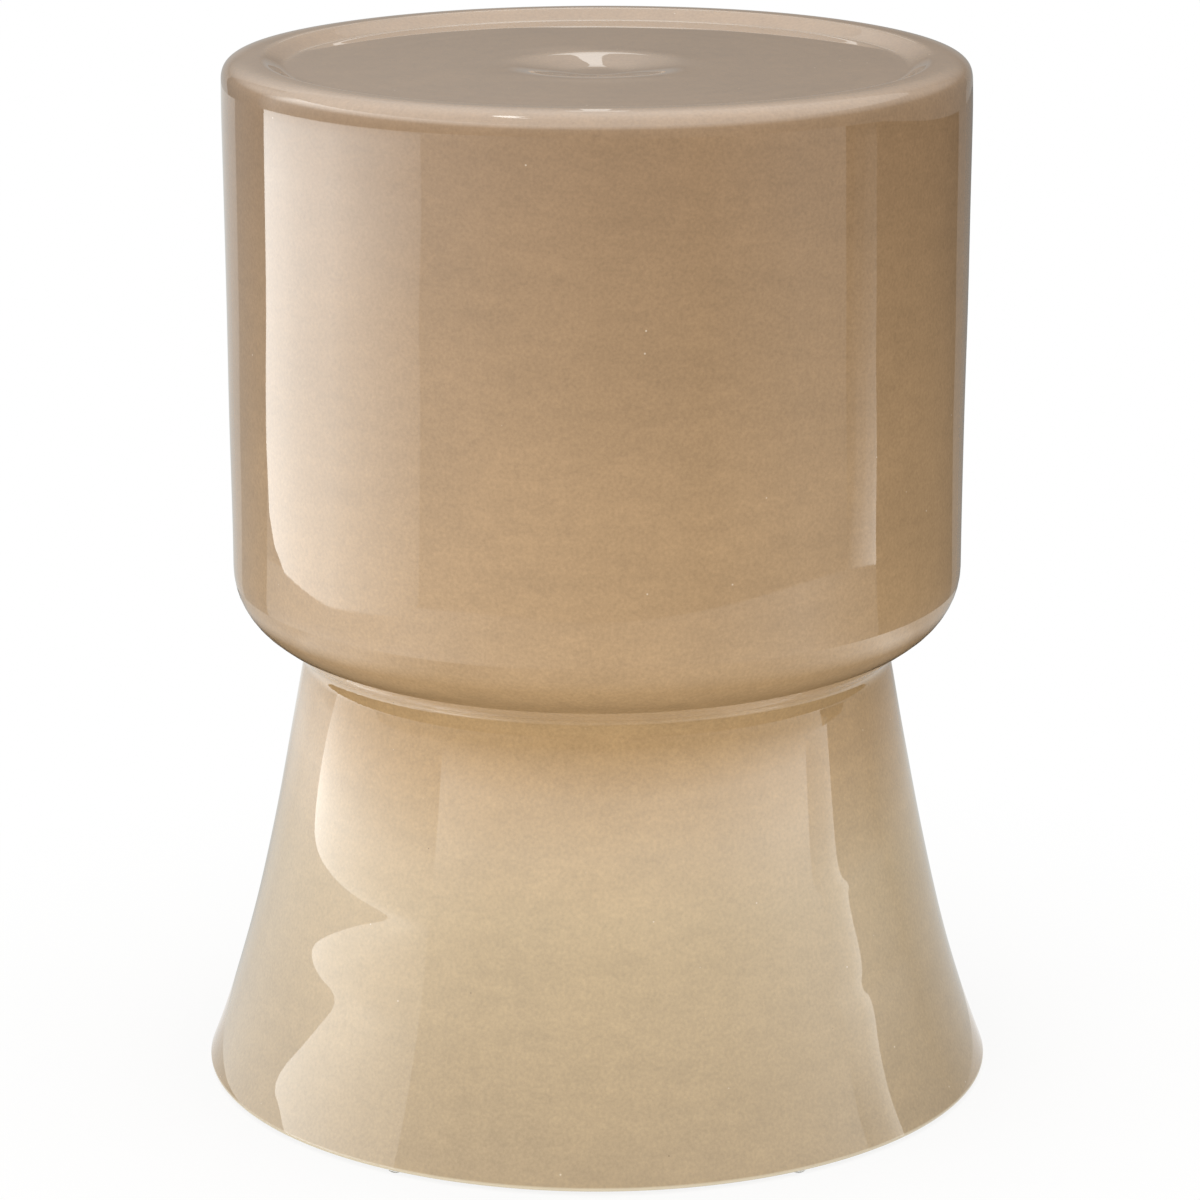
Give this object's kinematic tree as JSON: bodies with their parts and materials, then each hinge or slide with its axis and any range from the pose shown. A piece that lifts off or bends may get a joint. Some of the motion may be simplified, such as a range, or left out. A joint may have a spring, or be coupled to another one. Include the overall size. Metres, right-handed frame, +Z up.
{
  "type": "glass garden stool",
  "caption": "Blown cased-glass garden stool: a round drum with a dished seat on a flared, hollow bell foot, standing on clear floor bumpers.",
  "frame": {"origin": "centre of the foot circle on the floor", "axes": "+Z up along the stool's axis of revolution; X and Y are free, with a floor bumper on +X"},
  "size_m": [0.3528, 0.3528, 0.457],
  "materials": {
    "casing_glass": "fire-polished",
    "colour_glass": "fused colour powder",
    "inner_glass": "fire-polished",
    "clear_bumper": "clear satin"
  },
  "bodies": {
    "root": {"outer_casing": "casing_glass", "colour_layer": "colour_glass", "inner_layer": "inner_glass", "floor_bumper_1": "clear_bumper", "floor_bumper_2": "clear_bumper", "floor_bumper_3": "clear_bumper", "floor_bumper_4": "clear_bumper", "floor_bumper_5": "clear_bumper", "floor_bumper_6": "clear_bumper"}
  },
  "joints": []
}
